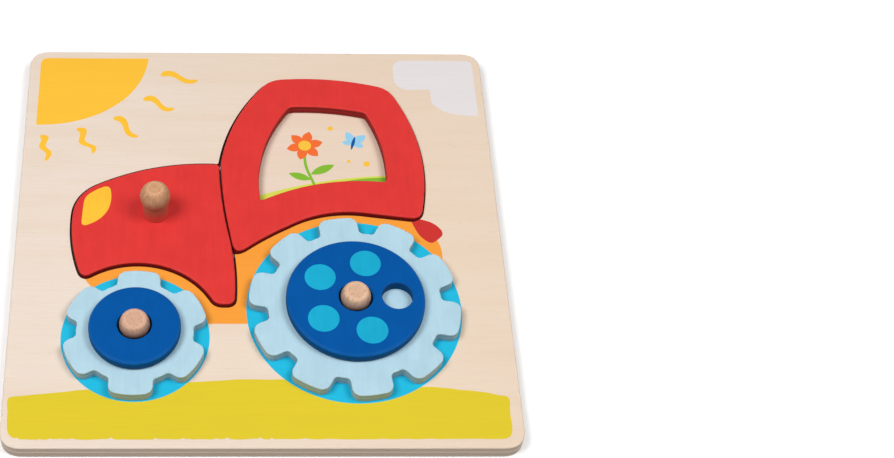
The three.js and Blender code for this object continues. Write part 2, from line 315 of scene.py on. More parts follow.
# A sheet of wood from loops of (points, edge rows, painted shade on the wall), with flat prints on its top
# face
def woodSheet(name, loops, material, prints=()):
    prints = [(np.array(points), inks[ink]) for points, ink in prints]
    loops = [[*loop, noInk][:3] for loop in loops]
    vertices, faces, directions, colours, topSpans = [], [], [], [], []
    known, rims = ([], []), ([], [])
    for loop in loops:
        loop[0] = splitAtPrints(loop[0], loop[1][-1][0], prints)
    for number, (points, rows, wallShade) in enumerate(loops):
        way = -1 if number else 1
        normals, miters = cornerNormals(points)
        rings = addRings(vertices, rows, len(points), lambda inset, _: points - miters * inset)
        for corners in ringFaces(rings):
            faces.append(list(corners))
            directions += facing(corners, rows, normals)
            colours += [wallShade] * 4
            ring, k = next(iter(corners.values()))
            if rows[ring][2] >= 0 and rows[ring + 1][2] > 0 and wallShade == noInk:
                topSpans.append((len(faces) - 1, rings[-1][k], rings[-1][(k + 1) % len(points)]))
        for end in (0, 1):
            known[end].extend(rings[-end][::way])
            rims[end].append((points - miters * rows[-end][0])[::way])

    for end, up in ((0, -1), (1, 1)):
        height = loops[0][1][-end][1]
        polygons = rims[end] + [points for points, _ in prints] * end
        placed, _, triangles, sources, _, inside = triangulate(polygons)
        numbers = []
        for place, source in zip(placed, sources):
            rimSources = [known[end][s] for s in source if s < len(known[end])]
            numbers.append(rimSources[0] if rimSources else len(vertices))
            if not rimSources:
                vertices.append((*place, height))
        inkBeside = {}
        for triangle, within in zip(triangles, inside):
            corners = [numbers[i] for i in triangle]
            inHole = any(0 < k < len(loops) for k in within)
            if 0 not in within or inHole or len(set(corners)) < 3:
                continue
            shown = [k - len(loops) for k in within if k >= len(loops)]
            ink = prints[max(shown)][1] if shown else noInk
            inkBeside.update(((a, b), ink) for a, b in pairsRound(corners))
            faces.append(tuple(corners[::up]))
            directions += [(0, 0, up)] * 3
            colours += [ink] * 3
    for face, a, b in topSpans:
        colours[face * 4:face * 4 + 4] = [inkBeside.get((a, b), noInk)] * 4
    return meshObject(name, vertices, faces, material, directions, colours)


# A wire is an output in the node tree that is being built, and it can be reckoned with like a number
class Wire:
    tree = None

    def __init__(self, socket):
        self.socket = socket

    def __add__(self, other):
        return calc("ADD", self, other)

    def __sub__(self, other):
        return calc("SUBTRACT", self, other)

    def __mul__(self, other):
        return calc("MULTIPLY", self, other)

    def __truediv__(self, other):
        return calc("DIVIDE", self, other)

    def __rtruediv__(self, other):
        return calc("DIVIDE", other, self)


def feed(socket, value):
    if isinstance(value, Wire):
        Wire.tree.links.new(value.socket, socket)
    else:
        socket.default_value = value


def fill(node, inputs):
    for name, value in inputs.items():
        feed(node.inputs[name], value)
    return node


def newNode(kind, inputs=None, **settings):
    node = Wire.tree.nodes.new(kind)
    for name, value in settings.items():
        setattr(node, name, value)
    return fill(node, inputs or {})


def wiresOf(node):
    return {socket.name: Wire(socket) for socket in node.outputs}


def put(kind, inputs=None, out=0, **settings):
    return Wire(newNode(kind, inputs, **settings).outputs[out])


def geo(kind, shape=None, inputs=None, out=0, **settings):
    first = {} if shape is None else {0: shape}
    return put("GeometryNode" + kind, {**first, **(inputs or {})}, out, **settings)


def calc(operation, *values, clamp=False):
    return put("ShaderNodeMath", dict(enumerate(values)), operation=operation, use_clamp=clamp)


def vectorCalc(operation, *values):
    return put("ShaderNodeVectorMath", dict(enumerate(values)), operation=operation)


def scaled(vector, factor):
    return put("ShaderNodeVectorMath", {0: vector, "Scale": factor}, operation="SCALE")


def lengthOf(vector):
    return put("ShaderNodeVectorMath", {0: vector}, "Value", operation="LENGTH")


def vectorOf(x=0.0, y=0.0, z=0.0):
    return put("ShaderNodeCombineXYZ", {"X": x, "Y": y, "Z": z})


def split(vector):
    return wiresOf(newNode("ShaderNodeSeparateXYZ", {"Vector": vector}))


def mapped(value, fromLow, fromHigh, toLow=0.0, toHigh=1.0, kind="LINEAR"):
    return put("ShaderNodeMapRange", {
        "Value": value, "From Min": fromLow, "From Max": fromHigh, "To Min": toLow, "To Max": toHigh,
    }, interpolation_type=kind)


def eased(value, fromLow, fromHigh, toLow=0.0, toHigh=1.0):
    return mapped(value, fromLow, fromHigh, toLow, toHigh, "SMOOTHSTEP")


def mixed(share, first, second):
    return put("ShaderNodeMix", {0: share, 6: first, 7: second}, 2, data_type="RGBA")


# A colour turned towards another by up to a share, as a mask goes from low to high
def tinted(colour, other, mask, low, high, share):
    return mixed(mapped(mask, low, high, 0, share), colour, other)


def noiseOf(vector, stretch, detail=3.0, roughness=0.55, distortion=0.0):
    stretched = vectorCalc("MULTIPLY", vector, tuple(1 / (size * mm) for size in stretch))
    return put("ShaderNodeTexNoise", {
        "Vector": stretched, "Scale": 1.0, "Detail": detail, "Roughness": roughness, "Distortion": distortion,
    })


def centredOn(vector, place):
    back = tuple(-along * mm for along in place)
    return put("ShaderNodeMapping", {"Vector": vector, "Location": (*back, 0)[:3]})


def paintColour(*rgb):
    levels = [c / 255 for c in rgb]
    return (*[c / 12.92 if c <= 0.04045 else ((c + 0.055) / 1.055) ** 2.4 for c in levels], 1.0)


def paintColours(**colours):
    return {name: paintColour(*rgb) for name, rgb in colours.items()}


socketKinds = {"Vector": "NodeSocketVector", "Color": "NodeSocketColor", "Worn": "NodeSocketColor"}


def newGroup(name, inputs, outputs):
    tree = bpy.data.node_groups.new(name, "ShaderNodeTree")
    for labels, way in ((inputs, "INPUT"), (outputs, "OUTPUT")):
        for label in labels.split():
            kind = socketKinds.get(label, "NodeSocketFloat")
            tree.interface.new_socket(label, in_out=way, socket_type=kind)
    Wire.tree = tree
    given = wiresOf(newNode("NodeGroupInput"))
    return [given[label] for label in inputs.split()]


def endGroup(results):
    newNode("NodeGroupOutput", results)
    return Wire.tree


# Grain that runs along X: a slow change of tone, fine fibres and a few short dark flecks
def makeWoodGrain():
    [vector] = newGroup("woodGrain", "Vector", "Tone Fibre Fleck")
    tone = noiseOf(vector, (150, 14, 60), 3, 0.6, 0.3)
    fibre = noiseOf(vector, (22, 0.55, 0.55), 4, 0.65, 0.15)
    fleck = noiseOf(vector, (3.2, 0.34, 0.34), 1, 0.5)
    return endGroup({
        "Tone": mapped(tone, 0.3, 0.7),
        "Fibre": mapped(fibre, 0.25, 0.75),
        "Fleck": eased(fleck, 0.68, 0.78),
    })


# Cut edge of plywood: plies that run along and across in turn, with a dark glue line between them
def makePlyEdge():
    vector, bottom, ply = newGroup("plyEdge", "Vector Bottom Ply", "Band Glue Fibre")
    waver = 0.08 * mm
    lifted = split(vector)["Z"] + mapped(noiseOf(vector, (9, 9, 9), 2), 0, 1, -waver, waver)
    layer = (lifted - bottom) / ply
    band = calc("FLOORED_MODULO", calc("FLOOR", layer), 2.0)
    glue = eased(calc("PINGPONG", layer, 0.5), 0.03, 0.1, 1, 0)
    along = noiseOf(vector, (7, 7, 0.16), 3)
    across = noiseOf(vector, (0.3, 0.3, 0.3), 2)
    chosen = put("ShaderNodeMix", {0: band, 2: along, 3: across})
    return endGroup({"Band": band, "Glue": glue, "Fibre": mapped(chosen, 0.3, 0.7)})


# Where a flat piece shows its sawn side, and where its rounded edge
def makeEdgeZones():
    vector, bottom, top, ease = newGroup("edgeZones", "Vector Bottom Top Ease", "Side Rim")
    height = split(vector)["Z"]
    fromBottom = height - bottom
    fromTop = top - height
    share = calc("MINIMUM", fromBottom, fromTop) / ease
    bottomFace = mapped(fromBottom / ease, 0.02, 0.1)
    side = eased(fromTop / ease, 0.45, 0.8) * bottomFace
    rim = mapped(share, 0.02, 0.25) * mapped(share, 0.7, 1.0, 1, 0)
    return endGroup({"Side": side, "Rim": rim})


# Paint over wood: cloudy colour, grain that shows through, and lighter colour on the rims, partly thinner
# paint and partly painted highlight
def makePaintFilm():
    vector, colour, wearAndHighlightColour, fibre, rim = newGroup(
        "paintFilm", "Vector Color Worn Fibre Rim", "Color Roughness Height",
    )
    cloud = noiseOf(vector, (7, 12, 7), 4, 0.6)
    skin = noiseOf(vector, (0.5, 0.35, 0.35), 2)
    streak = noiseOf(vector, (1.5, 24, 4), 3)
    depth = mapped(cloud, 0.3, 0.7, 0.94, 1.04) + mapped(streak, 0.3, 0.7, -0.03, 0.02)
    # The rounded rims turn lighter: thinner paint at the edge, with a painted highlight along it.
    worn = rim * mapped(cloud, 0.35, 0.65, 0.2, 0.6)
    return endGroup({
        "Color": mixed(worn, scaled(colour, depth), wearAndHighlightColour),
        "Roughness": mapped(cloud, 0.3, 0.7, 0.40, 0.50) + mapped(fibre, 0, 1, -0.03, 0.04),
        "Height": fibre * 0.7 + skin * 0.3,
    })


# Round dots on a ring, for a vector measured from the ring's middle
def makeDotRing():
    vector, count, ring, dot, start = newGroup("dotRing", "Vector Count Ring Dot Start", "Mask")
    x, y, _ = split(vector).values()
    reach = calc("SQRT", x * x + y * y)
    pitch = 2 * pi / count
    angle = calc("ARCTAN2", y, x) - start
    local = angle - pitch * calc("ROUND", angle / pitch)
    across = reach * calc("SINE", local)
    outward = reach * calc("COSINE", local) - ring
    apart = calc("SQRT", across * across + outward * outward)
    softness = 0.06 * mm
    return endGroup({"Mask": calc("ADD", (dot - apart) / softness, 0.5, clamp=True)})


woodGrain = makeWoodGrain()
plyEdge = makePlyEdge()
edgeZones = makeEdgeZones()
paintFilm = makePaintFilm()
dotRing = makeDotRing()
print("shader groups built")


# Materials
def newMaterial(name):
    material = bpy.data.materials.new(name)
    material.use_nodes = True
    Wire.tree = material.node_tree
    Wire.tree.nodes.clear()
    shader = newNode("ShaderNodeBsdfPrincipled")
    newNode("ShaderNodeOutputMaterial", {"Surface": Wire(shader.outputs[0])})
    return material, shader, put("ShaderNodeTexCoord", out="Object")


def useGroup(group, **inputs):
    return wiresOf(newNode("ShaderNodeGroup", inputs, node_tree=group))


def finishSurface(shader, colour, roughness, height, depth, shine):
    bump = put("ShaderNodeBump", {"Height": height, "Strength": 1.0, "Distance": depth * mm})
    fill(shader, {
        "Base Color": colour, "Roughness": roughness, "Normal": bump, "Specular IOR Level": shine,
    })


# The printed ink on a piece, and the painted shade on the walls of its cuts, which the grain shows through a
# little where a tone for the grain is given
def layInk(below, shade=None):
    ink = wiresOf(newNode("ShaderNodeAttribute", attribute_name="ink"))
    return mixed(ink["Alpha"], below, scaled(ink["Color"], shade) if shade else ink["Color"])


# What every plywood piece has: its grain, the zones of its edge and the plies on its sawn side
def plywoodParts(coords, node, look):
    bottom, top = levelsOf(node)
    ply = (top - bottom) / look["plies"]
    grain = useGroup(woodGrain, Vector=coords)
    zones = useGroup(edgeZones, Vector=coords, Bottom=bottom * mm, Top=top * mm, Ease=look["ease"] * mm)
    plies = useGroup(plyEdge, Vector=coords, Bottom=bottom * mm, Ply=ply * mm)
    side = mixed(plies["Band"], look["longPly"], look["crossPly"])
    side = tinted(side, look["plyFleck"], plies["Fibre"], 0.3, 1, 0.3)
    side = tinted(side, look["glue"], plies["Glue"], 0, 1, look["glueShare"])
    return grain, zones, plies, side


birch = {
    "plies": 3, "ease": 0.7, "shine": 0.15, "glueShare": 0.35,
    **paintColours(
        pink=(236, 220, 206), tan=(234, 213, 192), dark=(229, 205, 181), fibre=(222, 198, 174),
        fleck=(186, 152, 122), plyFleck=(186, 152, 122),
        longPly=(203, 186, 170), crossPly=(194, 175, 158), glue=(170, 150, 133),
    ),
}


# Bare or printed birch plywood, with its plies on the cut edges
def birchPlywood(name, node):
    material, shader, coords = newMaterial(name)
    grain, zones, plies, side = plywoodParts(coords, node, birch)
    across = eased(split(coords)["X"], -0.1, 0.08)
    face = mixed(across, birch["pink"], birch["tan"])
    face = tinted(face, birch["dark"], grain["Tone"], 0.3, 1, 0.55)
    face = tinted(face, birch["fibre"], grain["Fibre"], 0.45, 1, 0.35)
    face = tinted(face, birch["fleck"], grain["Fleck"], 0, 1, 0.22)
    shade = mapped(grain["Fibre"], 0, 1, 1.02, 0.97) + mapped(grain["Tone"], 0, 1, 0.01, -0.02)
    colour = layInk(mixed(zones["Side"], face, side), shade)
    height = mixed(zones["Side"], grain["Fibre"], plies["Fibre"])
    rough = mapped(grain["Fibre"], 0, 1, 0.5, 0.62)
    finishSurface(shader, colour, rough, height, 0.02, birch["shine"])
    return material


def paintLook(ease, shine, **colours):
    look = paintColours(**colours, plyFleck=colours["crossPly"])
    return {"plies": 5, "glueShare": 0.55, "ease": ease, "shine": shine, **look}


redPaint = paintLook(
    0.9, 0.1, colour=(223, 58, 55), worn=(228, 72, 68),
    longPly=(160, 38, 37), crossPly=(138, 32, 32), glue=(104, 24, 24),
)
paleBluePaint = paintLook(
    0.7, 0.1, colour=(181, 214, 228), worn=(205, 229, 238),
    longPly=(171, 197, 208), crossPly=(152, 176, 183), glue=(132, 150, 153),
)
darkBluePaint = paintLook(
    1.5, 0.06, colour=(2, 84, 160), worn=(20, 104, 176),
    longPly=(0, 80, 132), crossPly=(0, 73, 122), glue=(0, 58, 98),
)


# Painted plywood: smooth satin faces, and darker sides where the plies drink the paint
def paintedPlywood(name, node, paint, dots=None, printed=False):
    material, shader, coords = newMaterial(name)
    grain, zones, plies, side = plywoodParts(coords, node, paint)
    colour = paint["colour"]
    if dots:
        ring = useGroup(
            dotRing, Vector=centredOn(coords, dots["centre"]), Count=dots["count"],
            Ring=dots["ring"] * mm, Dot=dots["radius"] * mm, Start=radians(dots["start"]),
        )
        onTop = calc("GREATER_THAN", split(coords)["Z"], (levelsOf(node)[1] - dots["depth"]) * mm)
        colour = mixed(ring["Mask"] * onTop, colour, dots["colour"])
    if printed:
        colour = layInk(colour)
    film = useGroup(
        paintFilm, Vector=coords, Color=colour, Worn=paint["worn"], Fibre=grain["Fibre"], Rim=zones["Rim"],
    )
    shown = mixed(zones["Side"], film["Color"], side)
    rough = mixed(zones["Side"], film["Roughness"], mapped(plies["Fibre"], 0, 1, 0.5, 0.7))
    height = mixed(zones["Side"], film["Height"], plies["Fibre"])
    finishSurface(shader, shown, rough, height, 0.02, paint["shine"])
    return material


# Turned beech: growth rings, blotches and pores, a paler burnished crown and ring with a painted highlight,
# and painted shade down the flank. What differs from peg to peg: the tree's pith beside the peg, the tint,
# how far down the painted shade reaches, and the painted red reflection of the bonnet on the knob's neck.
beech = {
    "ringPitch": 1.9, "bevel": 0.6, "shine": 0.3, "summerShare": 0.95, "crownHighlightShare": 1.09,
    **paintColours(brown=(178, 128, 92), dark=(128, 84, 58), deep=(132, 92, 74)),
}
beechLooks = {
    "small_axle_peg": {"pith": (9, 17), "tint": (208, 166, 141), "blotch": 0.45, "flank": 5},
    "large_axle_peg": {"pith": (-21, 12), "tint": (213, 176, 146), "blotch": 0.3, "flank": 6.5},
    "bonnet_knob": {
        "pith": (16, -19), "tint": (207, 157, 118), "blotch": 0.75, "flank": 14,
        "paintedRedReflection": paintColour(222, 80, 72),
    },
}


def turnedBeech(name, centre, crown, look):
    material, shader, coords = newMaterial(name)
    early, summer, burnishedAndLitCrown = (
        paintColour(*[channel * share for channel in look["tint"]])
        for share in (1, beech["summerShare"], beech["crownHighlightShare"])
    )
    flat = vectorCalc("MULTIPLY", centredOn(coords, centre + look["pith"]), (1, 1, 0.12))
    rings = lengthOf(flat) * (1 / (beech["ringPitch"] * mm)) + noiseOf(coords, (5, 5, 14), 2)
    fibre = noiseOf(coords, (0.3, 0.5, 5), 3)
    blotch = mapped(noiseOf(coords, (1.9, 1.9, 2.8), 3), 0.36, 0.64)
    pores = eased(noiseOf(coords, (0.5, 1.6, 2.6), 1), 0.58, 0.7)
    colour = mixed(eased(calc("FRACT", rings), 0.35, 0.95), early, summer)
    colour = mixed(blotch * look["blotch"], colour, beech["brown"])
    colour = tinted(colour, beech["brown"], fibre, 0.4, 0.75, 0.25)
    x, y, height = split(centredOn(coords, (*centre, crown[1]))).values()
    fromAxis = lengthOf(vectorOf(x, y))
    # The crown and a ring at its rim are made paler: burnished end grain with a painted highlight from the
    # light above.
    bevel = calc("ABSOLUTE", fromAxis - crown[0] * mm)
    bevel = eased(bevel, 0.1 * mm, beech["bevel"] * mm, 0.85, 0)
    onCrown = eased(height, -1.2 * mm, -0.2 * mm)
    colour = mixed(onCrown * calc("MAXIMUM", bevel, 0.4), colour, burnishedAndLitCrown)
    # Painted shade: the flank darkens towards the bottom, from just under the crown down to the look's flank
    # depth.
    colour = mixed(mapped(height, -look["flank"] * mm, -1 * mm, 0.75, 0), colour, beech["deep"])
    colour = mixed(pores * 0.4, colour, beech["dark"])
    # A painted reflection of the red bonnet, laid on the lower neck of the knob.
    if "paintedRedReflection" in look:
        colour = mixed(mapped(height, -15 * mm, -9 * mm, 0.8, 0), colour, look["paintedRedReflection"])
    toolLines = noiseOf(coords, (60, 60, 0.28), 2)
    rough = mapped(fibre, 0.3, 0.7, 0.42, 0.58)
    finishSurface(shader, colour, rough, fibre + toolLines, 0.02, beech["shine"])
    return material


def zincSteel():
    material, shader, coords = newMaterial("zincSteel")
    bloom = noiseOf(coords, (0.8, 0.8, 0.8), 3)
    scratch = noiseOf(coords, (2.5, 0.08, 0.3), 2)
    colour = mixed(mapped(bloom, 0.35, 0.65), paintColour(206, 209, 214), paintColour(176, 178, 178))
    rough = mapped(bloom, 0.3, 0.7, 0.26, 0.42) + mapped(scratch, 0.4, 0.6, -0.03, 0.04)
    finishSurface(shader, colour, rough, scratch, 0.004, 0.5)
    feed(shader.inputs["Metallic"], 1.0)
    return material


def seat(piece, node, body):
    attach(piece, body)
    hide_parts(node)


# Board outline, and the outlines of the pieces that lift out of it. Their bows, and places up the piece,
# are shares of its height.
boardShape = {"corner": 9, "ease": 0.7, "cutEase": 0.25, "pegHole": 5.75}
screwHole = {"radius": 1.8, "head": 3.5, "sink": 0.3, "cone": 1.9, "step": 0.25}
bonnetShape = {
    "seamGap": 0.7, "length": 62.6, "height": 74.4, "footWidth": 8.2,
    "archRadius": 36.5, "archToe": 129.3, "archFoot": 25.3,
    "ease": 0.9, "topCorner": 1.6, "noseCorner": 9, "toeCorner": 5, "footCorner": 3.4,
    "cutGap": 0.65, "play": (0, 0.6),
}
cabShape = {
    "width": 87.6, "height": 77, "fenderRadius": 50.1, "fenderFront": 122, "fenderRear": 80,
    "ease": 0.9, "roofCorner": 5, "heelCorner": 4.6, "toeCorner": 7, "windowCorner": 1.6,
    "cutGap": 0.35, "play": (-0.7, -0.3), "seamToeShare": 0.65,
}

archFoot = polar(smallAxle, bonnetShape["archRadius"], bonnetShape["archFoot"])
bonnetHigh = bonnetShape["height"]
halfSeam = np.array((bonnetShape["seamGap"] / 2, 0))
seamFoot = archFoot + (bonnetShape["footWidth"] + bonnetShape["seamGap"] / 2, 0)
seamTop = seamFoot + (-0.085 * bonnetHigh, bonnetHigh)
seamMiddle = seamTop + (0.049 * bonnetHigh, -0.49 * bonnetHigh)
seamBow = 0.019 * bonnetHigh


def bonnetOutline():
    shape = bonnetShape
    nose = (seamTop[0] - shape["length"], archFoot[1] + 0.774 * bonnetHigh)
    archToe = polar(smallAxle, shape["archRadius"], shape["archToe"])
    return outline([
        (seamFoot - halfSeam, shape["footCorner"], seamBow),
        (seamMiddle - halfSeam, 0, -0.01 * bonnetHigh),
        (seamTop - halfSeam, shape["topCorner"], 0.072 * bonnetHigh),
        (nose, shape["noseCorner"], 0.045 * bonnetHigh),
        (archToe, shape["toeCorner"], 0, smallAxle),
        (archFoot, shape["footCorner"]),
    ])


def cabPoint(across, up):
    cabFoot = largeAxle[1] + cabShape["fenderRadius"]
    return seamTop[0] + across * cabShape["width"], cabFoot + up * cabShape["height"]


def cabOutline():
    shape = cabShape
    high = shape["height"]
    lowerSeam = sidePoints((seamFoot, 0, seamBow), (seamMiddle,))[0]
    return outline([
        (lowerSeam(shape["seamToeShare"]) + halfSeam, shape["toeCorner"], -0.01 * high),
        (polar(largeAxle, shape["fenderRadius"], shape["fenderFront"]), 0, 0, largeAxle),
        (polar(largeAxle, shape["fenderRadius"], shape["fenderRear"]),),
        (cabPoint(1, -0.05), shape["heelCorner"], 0.096 * high),
        (cabPoint(0.886, 0.92), shape["roofCorner"], 0.039 * high),
        (cabPoint(0.264, 0.983), shape["roofCorner"], 0.056 * high),
        (seamTop + halfSeam, 0, 0.01 * bonnetHigh),
        (seamMiddle + halfSeam,),
    ])


def windowOutline():
    corners = ((0.203, 0.077, -0.058), (0.842, 0.215, 0.034), (0.755, 0.731, 0.017), (0.363, 0.773, 0.07))
    rounding, high = cabShape["windowCorner"], cabShape["height"]
    return outline([(cabPoint(across, up), rounding, bow * high) for across, up, bow in corners])


# Inks of the prints, and a dark colour for the walls of the cuts, which is painted shade in the gaps round
# the lift-out pieces and pegs
inks = paintColours(
    sun=(254, 195, 58), grass=(224, 200, 44), sky=(30, 184, 220), chassis=(247, 158, 57), lamp=(203, 50, 47),
    cloud=(231, 225, 225), scorch=(60, 35, 28), petal=(243, 112, 52), heart=(250, 196, 66),
    leaf=(132, 186, 52), hill=(214, 222, 86), wing=(150, 208, 238), body=(8, 84, 152),
)


def wavyStroke(start, end, width, wave, waves=1.0, taper=0.4, blunt=0.08, steps=26):
    start, end = np.array(start, float), np.array(end, float)
    ahead = unit(end - start)
    across = np.array((-ahead[1], ahead[0]))
    left, right = [], []
    for t in np.linspace(0, 1, steps):
        middle = start + (end - start) * t + across * wave * sin(2 * pi * waves * t)
        fromEnd = max(min(t, 1 - t), blunt / 20)
        half = width / 2 * min(1, sqrt(fromEnd / blunt)) * (1 - taper * t)
        left.append(middle + across * half)
        right.append(middle - across * half)
    return np.array(right + left[::-1])


# An edge of dry ink: it wanders a little, and is notched along the bottom left
def ragged(points, wander=0.35, wanderLength=6, notch=1.6, notchLength=2.2, notchesEnd=20):
    moves = []
    for point, normal in zip(points, cornerNormals(points)[0]):
        move = wander * noise.noise(Vector((*point / wanderLength, 3.7)))
        if normal[1] < -0.9 and point[0] < notchesEnd:
            move -= notch * max(0, noise.noise(Vector((point[0] / notchLength, 0, 9.1))) - 0.16)
        moves.append(normal * move)
    return points + moves


# Prints on the top sheet, in the order in which they are laid
def picturePrints():
    grass = outline([
        ((-101.6, -101), 5.5, 0.05), ((99.9, -100.7), 4.5, 0.05), ((100.1, -81.4), 1.6, 0.7),
        ((66, -76.7), 0, 2.3), ((-30, -74.6), 0, 0.5), ((-102.7, -81.7), 1.6, 0.2),
    ], step=0.7)
    chassis = [
        ((-52, -46.4),), ((39, -46.4),), ((75, -30),),
        (polar(largeAxle, 50.4, 37), 6, 2.2), (polar(largeAxle, 55, 62), 0, 2),
        ((40, 20),), ((-45, 5),), ((-74, -15),), ((-75.5, -22), 0, 0.6), ((-68, -31),),
    ]
    lamp = [
        ((69.3, -0.2), 1, 0.5), ((74.5, -5), 1.5, 0.4), ((80.2, 0.2), 2, 1.4),
        ((72, 7.6), 2, 0.3), ((66, 8.3), 1, 0.2),
    ]
    sun = [
        ((-100.1, 60.6), 0.6, 3.1), ((-65.4, 71.2), 6, 3.4),
        ((-50, 100.9), 0.6, -0.1), ((-100.1, 100.9), 4, -0.1),
    ]
    cloud = [
        ((101.6, 67.1), 0.6, -0.1), ((101.3, 100.4), 3.5, 0.1), ((64.2, 100.4), 5, 0.2),
        ((64.1, 82.4), 7.5, 0.1), ((80.4, 82.7), 0.9, 0.1), ((80.6, 74.4), 1.2, 1.1), ((91, 67.6), 3.5, 0.2),
    ]
    rays = (
        ((-44.3, 91.1), (-27, 87.4), 1.5, 1), ((-52, 76.3), (-37.6, 70.1), 1.6, 1),
        ((-65, 65.2), (-53.8, 53.6), 1.5, 1), ((-81.3, 58.7), (-73.6, 44), 1.5, 1.5),
        ((-97.2, 54.6), (-93.3, 40), 1.0, 1.7),
    )
    return [
        (ragged(grass), "grass"), (outline(chassis), "chassis"), (circle(smallAxle, 30.8), "sky"),
        (circle(largeAxle, 45.3), "sky"), (outline(lamp), "lamp"), (outline(sun), "sun"),
        *[(wavyStroke(start, end, 3.7, wave, waves), "sun") for start, end, wave, waves in rays],
        (outline(cloud), "cloud"),
    ]


def leafShape(base, tip, width):
    return outline([(base, 0, width), (tip, 0, width)])


# Picture under the cab window: a flower, a butterfly and two hills
def windowPrints():
    farHill = outline([((-6, 17), 4, 3), ((64, 15), 12, 2), ((64, 34.5), 6, 3.4), ((-6, 20.5), 1.5)])
    nearHill = outline([((24, 17), 5, 2), ((64, 15), 12, 2), ((64, 32.8), 6, 3), ((24, 25.5), 2)])
    prints = [
        (farHill, "hill"), (nearHill, "leaf"),
        (wavyStroke((21.5, 49), (26, 17), 1.3, -1.1, 1, 0), "leaf"),
        (leafShape((23.6, 35), (34.5, 40.5), 2.1), "leaf"),
        (leafShape((23.8, 32), (13.8, 35.6), 1.9), "leaf"),
    ]
    flower = np.array((21.5, 51.5))
    for angle in range(14, 360, 60):
        prints.append((leafShape(polar(flower, 1, angle), polar(flower, 8.4, angle), 2.3), "petal"))
    prints.append((circle(flower, 2.9), "heart"))
    moth = np.array((43.5, 53))
    for angle, reach, width in ((38, 7.6, 2.0), (112, 7.2, 1.9), (-24, 5.2, 1.6), (174, 5.0, 1.5)):
        prints.append((leafShape(moth, polar(moth, reach, angle), width), "wing"))
    prints.append((leafShape(polar(moth, 4.2, -105), polar(moth, 4.2, 75), 0.75), "body"))
    for place, radius in (((33.5, 61.5), 1.3), ((49, 41), 1.5), ((41, 42.5), 0.9)):
        prints.append((circle(place, radius, 0.3), "heart"))
    return prints


# A hole for a countersunk screw that comes from below
def screwLoop(centre, bottom, top):
    inset = screwHole["head"] - screwHole["radius"]
    cone = atan2(inset, screwHole["cone"])
    sink = bottom + screwHole["sink"]
    coneTop = sink + screwHole["cone"]
    rows = [(inset, bottom, 0), (inset, sink, 0), (inset, sink, -cone), (0, coneTop, -cone), (0, coneTop, 0)]
    return circle(centre, screwHole["radius"], screwHole["step"])[::-1], rows + [(0, top, 0)]


def buildBoard():
    shape = boardShape
    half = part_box("top_sheet")[1].x / mm
    edge = outline([((x * half, y * half), shape["corner"]) for x, y in squareCorners])
    cuts = []
    for piece, around in ((bonnetShape, bonnetOutline()), (cabShape, cabOutline())):
        cut = letOut(around, piece["cutGap"])
        cuts += [cut, cut + piece["play"]]
    holes = [roundedTips(joinOutlines(cuts))]
    holes += [circle(axle, shape["pegHole"]) for axle in (smallAxle, largeAxle)]
    levels = levelsOf("top_sheet")
    holeRows = edgeRows(*levels, 0, shape["cutEase"], 3)
    loops = [(edge, edgeRows(*levels, 0, shape["ease"]))]
    # The walls of the openings and peg holes take a dark colour: painted shade for the gaps round the pieces.
    loops += [(hole[::-1], holeRows, inks["scorch"]) for hole in holes]
    wood = birchPlywood("printedBirch", "top_sheet")
    seat(woodSheet("printed_sheet", loops, wood, picturePrints()), "top_sheet", "board")

    levels = levelsOf("base_sheet")
    loops = [(edge, edgeRows(*levels, shape["ease"], 0))]
    loops += [screwLoop(axle, *levels) for axle in (smallAxle, largeAxle)]
    wood = birchPlywood("baseBirch", "base_sheet")
    seat(woodSheet("plywood_base", loops, wood, windowPrints()), "base_sheet", "board")


buildBoard()
print("board built")


def buildLiftOuts():
    levels = levelsOf("bonnet")
    loops = [
        (bonnetOutline(), edgeRows(*levels, bonnetShape["ease"], bonnetShape["ease"])),
        screwLoop(knobPlace, *levels),
    ]
    headlight = outline([
        ((-65.3, 24.7), 3, 0.9), ((-76.1, 17.9), 2.5, 0.2), ((-76.9, 2.2), 2.6, 2.7), ((-64.3, 15.2), 4, 0.2),
    ])
    red = paintedPlywood("bonnetRed", "bonnet", redPaint, printed=True)
    bonnet = woodSheet("red_bonnet", loops, red, [(headlight, "sun")])
    seat(bonnet, "bonnet", "bonnet_piece")
    rows = edgeRows(*levelsOf("cab"), cabShape["ease"], cabShape["ease"])
    red = paintedPlywood("cabRed", "cab", redPaint, printed=True)
    cab = woodSheet("red_cab", [(cabOutline(), rows), (windowOutline()[::-1], rows)], red)
    seat(cab, "cab", "cab_piece")


buildLiftOuts()
print("bonnet and cab built")


# Geometry Nodes for the wheels. An input is given by its kind, or by its default value.
def newShapeTree(name, inputs):
    tree = bpy.data.node_groups.new(name, "GeometryNodeTree")
    for label, value in inputs.items():
        kind = value if isinstance(value, str) else type(value).__name__.title()
        socket = tree.interface.new_socket(label, in_out="INPUT", socket_type="NodeSocket" + kind)
        if kind != value:
            socket.default_value = value
    tree.interface.new_socket("Geometry", in_out="OUTPUT", socket_type="NodeSocketGeometry")
    Wire.tree = tree
    return wiresOf(newNode("NodeGroupInput"))


def joined(*parts):
    join = newNode("GeometryNodeJoinGeometry")
    for part in parts:
        feed(join.inputs[0], part)
    return Wire(join.outputs[0])


def welded(geometry):
    return geo("MergeByDistance", geometry, {"Distance": 0.004 * mm})


def moved(geometry, place, **more):
    return geo("Transform", geometry, {"Translation": place, **more})


def asOnePath(*parts):
    return geo("MeshToCurve", welded(geo("CurveToMesh", joined(*parts))))


def arcPath(centre, radius, start, sweep, steps):
    turn = {"Start Angle": start, "Sweep Angle": sweep}
    return moved(geo("CurveArc", steps, {"Radius": radius, **turn}), centre)


def linePath(start, end):
    return geo("CurvePrimitiveLine", start, {"End": end})


def circlePath(radius, steps=256):
    return geo("CurvePrimitiveCircle", steps, {"Radius": radius})


